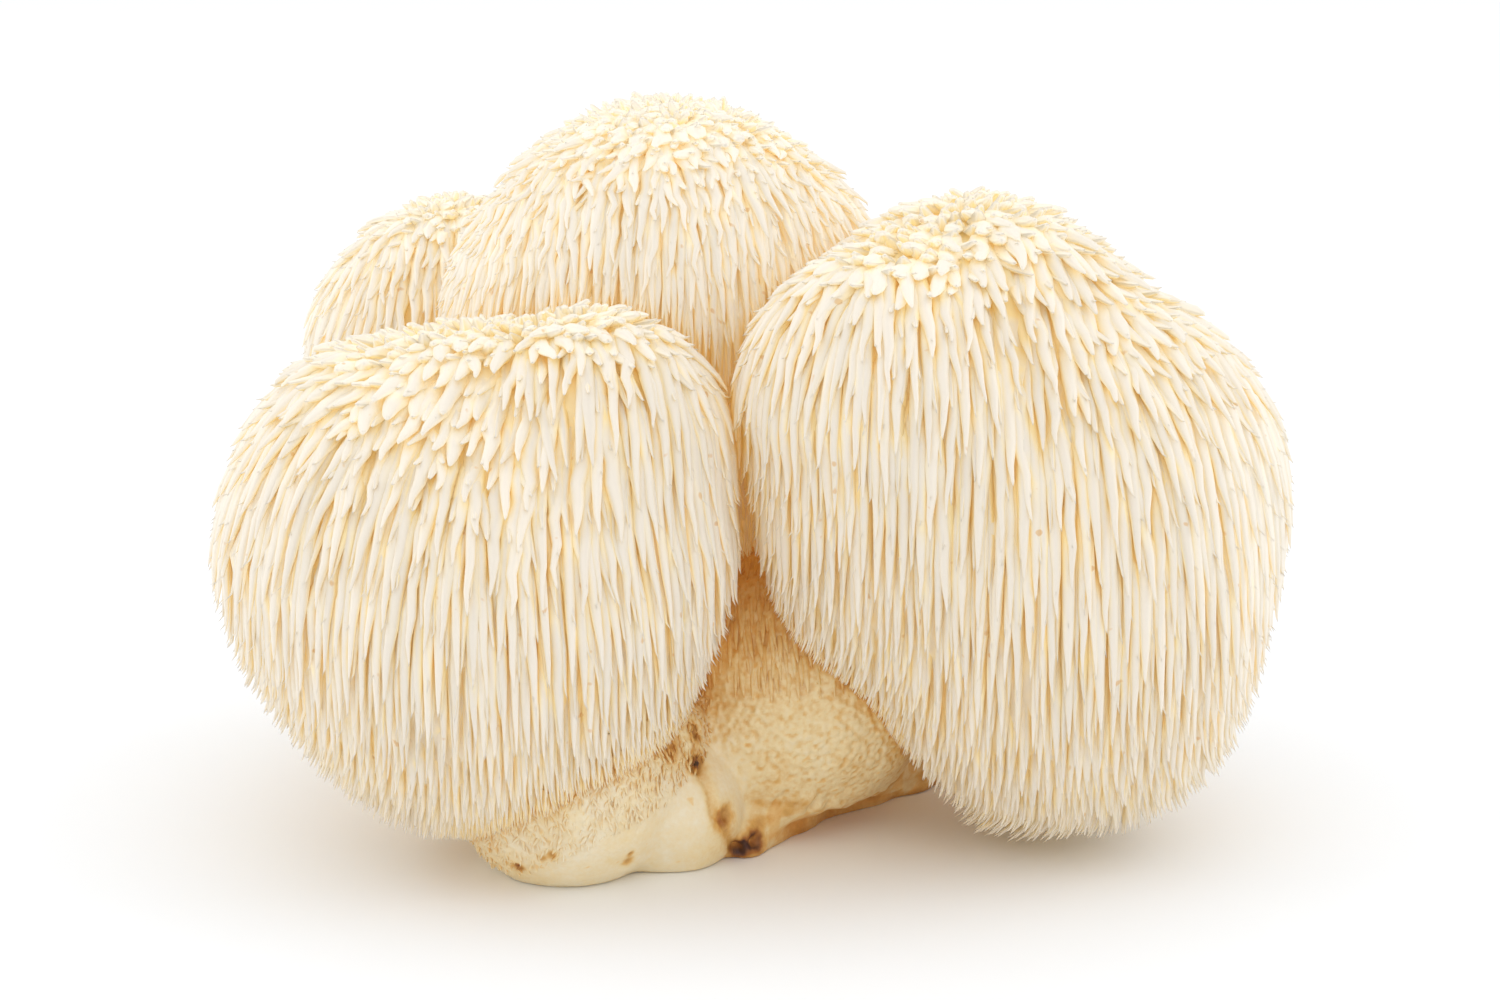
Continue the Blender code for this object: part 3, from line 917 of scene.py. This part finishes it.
# The foot's colours by its stains and painted shade, from pale cream to dark brown.
STAIN_AND_SHADE_COLOURS = ((0.0, (0.86, 0.77, 0.58)), (0.2, (0.83, 0.665, 0.375)), (0.42, (0.70, 0.41, 0.12)),
                 (0.68, (0.36, 0.13, 0.02)), (0.95, (0.06, 0.015, 0.007)))
SHADE_COLOURS = ((0.0, (0.90, 0.63, 0.28)), (0.35, (0.95, 0.83, 0.60)), (0.7, (1.0, 1.0, 1.0)))


def foot_material():
    material, nodes, links, shader = new_material("foot_flesh")
    speckle = spread(nodes, links, grain(nodes, links, 0.8, 4.0), 0.25, 0.75, -0.06, 0.06)
    total = summed(nodes, links, attribute(nodes, "stain_and_shade"), speckle)
    colour = colour_steps(nodes, total, links, STAIN_AND_SHADE_COLOURS)
    # Painted shade: the foot is darkened and warmed where little air is close by and further off.
    near = colour_steps(nodes, attribute(nodes, "near_air"), links, SHADE_COLOURS)
    far = colour_steps(nodes, attribute(nodes, "far_air"), links, SHADE_COLOURS)
    colour = blend(nodes, links, 0.6, colour, near, "MULTIPLY")
    colour = blend(nodes, links, 0.8, colour, far, "MULTIPLY")
    links.new(colour, shader.inputs["Base Color"])
    # Painted glow, as on the spines.
    add_glow(nodes, links, shader, 0.7)
    rough = spread(nodes, links, grain(nodes, links, 1.8, 3.0), 0.3, 0.7, 0.45, 0.7)
    links.new(rough, shader.inputs["Roughness"])
    bump = nodes.new("ShaderNodeBump")
    bump.inputs["Strength"].default_value = 0.6
    bump.inputs["Distance"].default_value = 0.0002
    links.new(grain(nodes, links, 0.7, 3.0), bump.inputs["Height"])
    links.new(bump.outputs["Normal"], shader.inputs["Normal"])
    return material


# ------------------------------------------------------------ stage
def build_stage():
    shape = bmesh.new()
    bmesh.ops.create_grid(shape, x_segments=1, y_segments=1, size=3.0)
    mesh = bpy.data.meshes.new("floor")
    shape.to_mesh(mesh)
    shape.free()
    floor = bpy.data.objects.new("floor", mesh)
    bpy.context.scene.collection.objects.link(floor)
    floor.location.z = -0.0002
    material, nodes, links, shader = new_material("floor_white")
    shader.inputs["Base Color"].default_value = (0.89, 0.91, 0.935, 1)
    shader.inputs["Roughness"].default_value = 0.8
    mesh.materials.append(material)


SKY_UP = (0.80, 1.16)     # the sky's strength at the horizon and overhead
SKY_BACK = (0.08, -0.02)  # and what is added in front and behind


def light_panel(name, place, target, size, power):
    data = bpy.data.lights.new(name, "AREA")
    data.shape = "SQUARE"
    data.size = size
    data.energy = power
    lamp = bpy.data.objects.new(name, data)
    bpy.context.scene.collection.objects.link(lamp)
    lamp.location = place
    lamp.rotation_euler = (Vector(target) - Vector(place)).to_track_quat("-Z", "Y").to_euler()


def build_light():
    world = bpy.data.worlds.new("studio")
    bpy.context.scene.world = world
    world.use_nodes = True
    nodes = world.node_tree.nodes
    links = world.node_tree.links
    place = nodes.new("ShaderNodeTexCoord")
    parts = nodes.new("ShaderNodeSeparateXYZ")
    links.new(place.outputs["Generated"], parts.inputs["Vector"])
    upward = spread(nodes, links, parts.outputs["Z"], 0.0, 1.0, *SKY_UP)
    behind = spread(nodes, links, parts.outputs["Y"], -1.0, 1.0, *SKY_BACK)
    links.new(summed(nodes, links, upward, behind), nodes["Background"].inputs["Strength"])
    nodes["Background"].inputs["Color"].default_value = (1, 1, 1, 1)
    target = (0.0, 0.0, 0.05)
    light_panel("left_panel", (-0.9, 0.1, 0.5), target, 0.8, 2)
    light_panel("right_panel", (0.9, 0.1, 0.5), target, 0.8, 2)
    bpy.context.scene.view_settings.view_transform = "Standard"
    bpy.context.scene.cycles.diffuse_bounces = 12
    bpy.context.scene.cycles.max_bounces = 16


def build_camera():
    data = bpy.data.cameras.new("camera")
    data.lens = 100.0
    data.sensor_width = 36.0
    camera = bpy.data.objects.new("camera", data)
    bpy.context.scene.collection.objects.link(camera)
    elevation = math.radians(15.0)
    aim = Vector((0.0083, 0.0, 0.0579))
    back = Vector((0.0, -math.cos(elevation), math.sin(elevation)))
    camera.location = aim + back * 0.6945
    camera.rotation_euler = (-back).to_track_quat("-Z", "Y").to_euler()
    bpy.context.scene.camera = camera


# ------------------------------------------------------------ assembly
def settle(piece):
    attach(piece, "root")
    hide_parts("mushroom")


build_camera()
build_stage()
build_light()
spines = spine_material()
grown = {}
for seed, (name, lobe) in enumerate(LOBES.items(), start=1):
    neighbours = [other["form"] for other in LOBES.values() if other is not lobe] + [FOOT]
    grown[name] = grow(name, lobe, neighbours, seed)
    grown[name + "_under"] = grow(name, lobe, neighbours, seed + 10, under=True)
foot = model_foot()
skin, _ = corners_of(foot.data)
clear = np.min([distance(skin, lobe["form"]) for lobe in LOBES.values()], axis=0)
hem_gap = distance(skin, FRONT_LEFT_LOBE)
upper = (clear > -1.0) & (skin[:, 2] > 27.0) & (skin[:, 0] > -3.0) & (skin[:, 0] < 30.0)
upper &= skin[:, 1] < 14.0
felted = (hem_gap > -1.0) & (hem_gap < 6.0) & (clear > -1.0) & (skin[:, 1] < 6.0)
felted &= (skin[:, 2] > 1.5) & (skin[:, 0] < 2.0)
grown["mound"] = grow_on_foot(skin[upper], MOUND_SPINES, 21)
grown["fringe"] = grow_on_foot(skin[felted], FRINGE_HAIRS, 22)
filled = fill_air(grown.values())
for name, lobe in LOBES.items():
    group = grown[name]
    hair = group["lengths"] < HAIR_LIMIT
    short = (group["lengths"] < SHORT_LIMIT) & ~hair
    settle(model_spines(name + "_long_spines", chosen_from(group, ~short & ~hair),
                        LONG_SPINES[lobe["pattern"]], filled, spines))
    settle(model_spines(name + "_short_spines", chosen_from(group, short), SHORT_SPINE, filled, spines))
    settle(model_spines(name + "_hairs", chosen_from(group, hair), HAIR, filled, spines))
    settle(model_spines(name + "_under_spines", grown[name + "_under"], UNDER_SPINE, filled, spines))
settle(model_flesh(filled, spines))
foot_flesh = foot_material()
settle(finish_foot(foot, filled, foot_flesh))
settle(model_spines("mound_spines", grown["mound"], SHORT_SPINE, filled, foot_flesh, True))
settle(model_spines("fringe_hairs", grown["fringe"], HAIR, filled, foot_flesh, True))
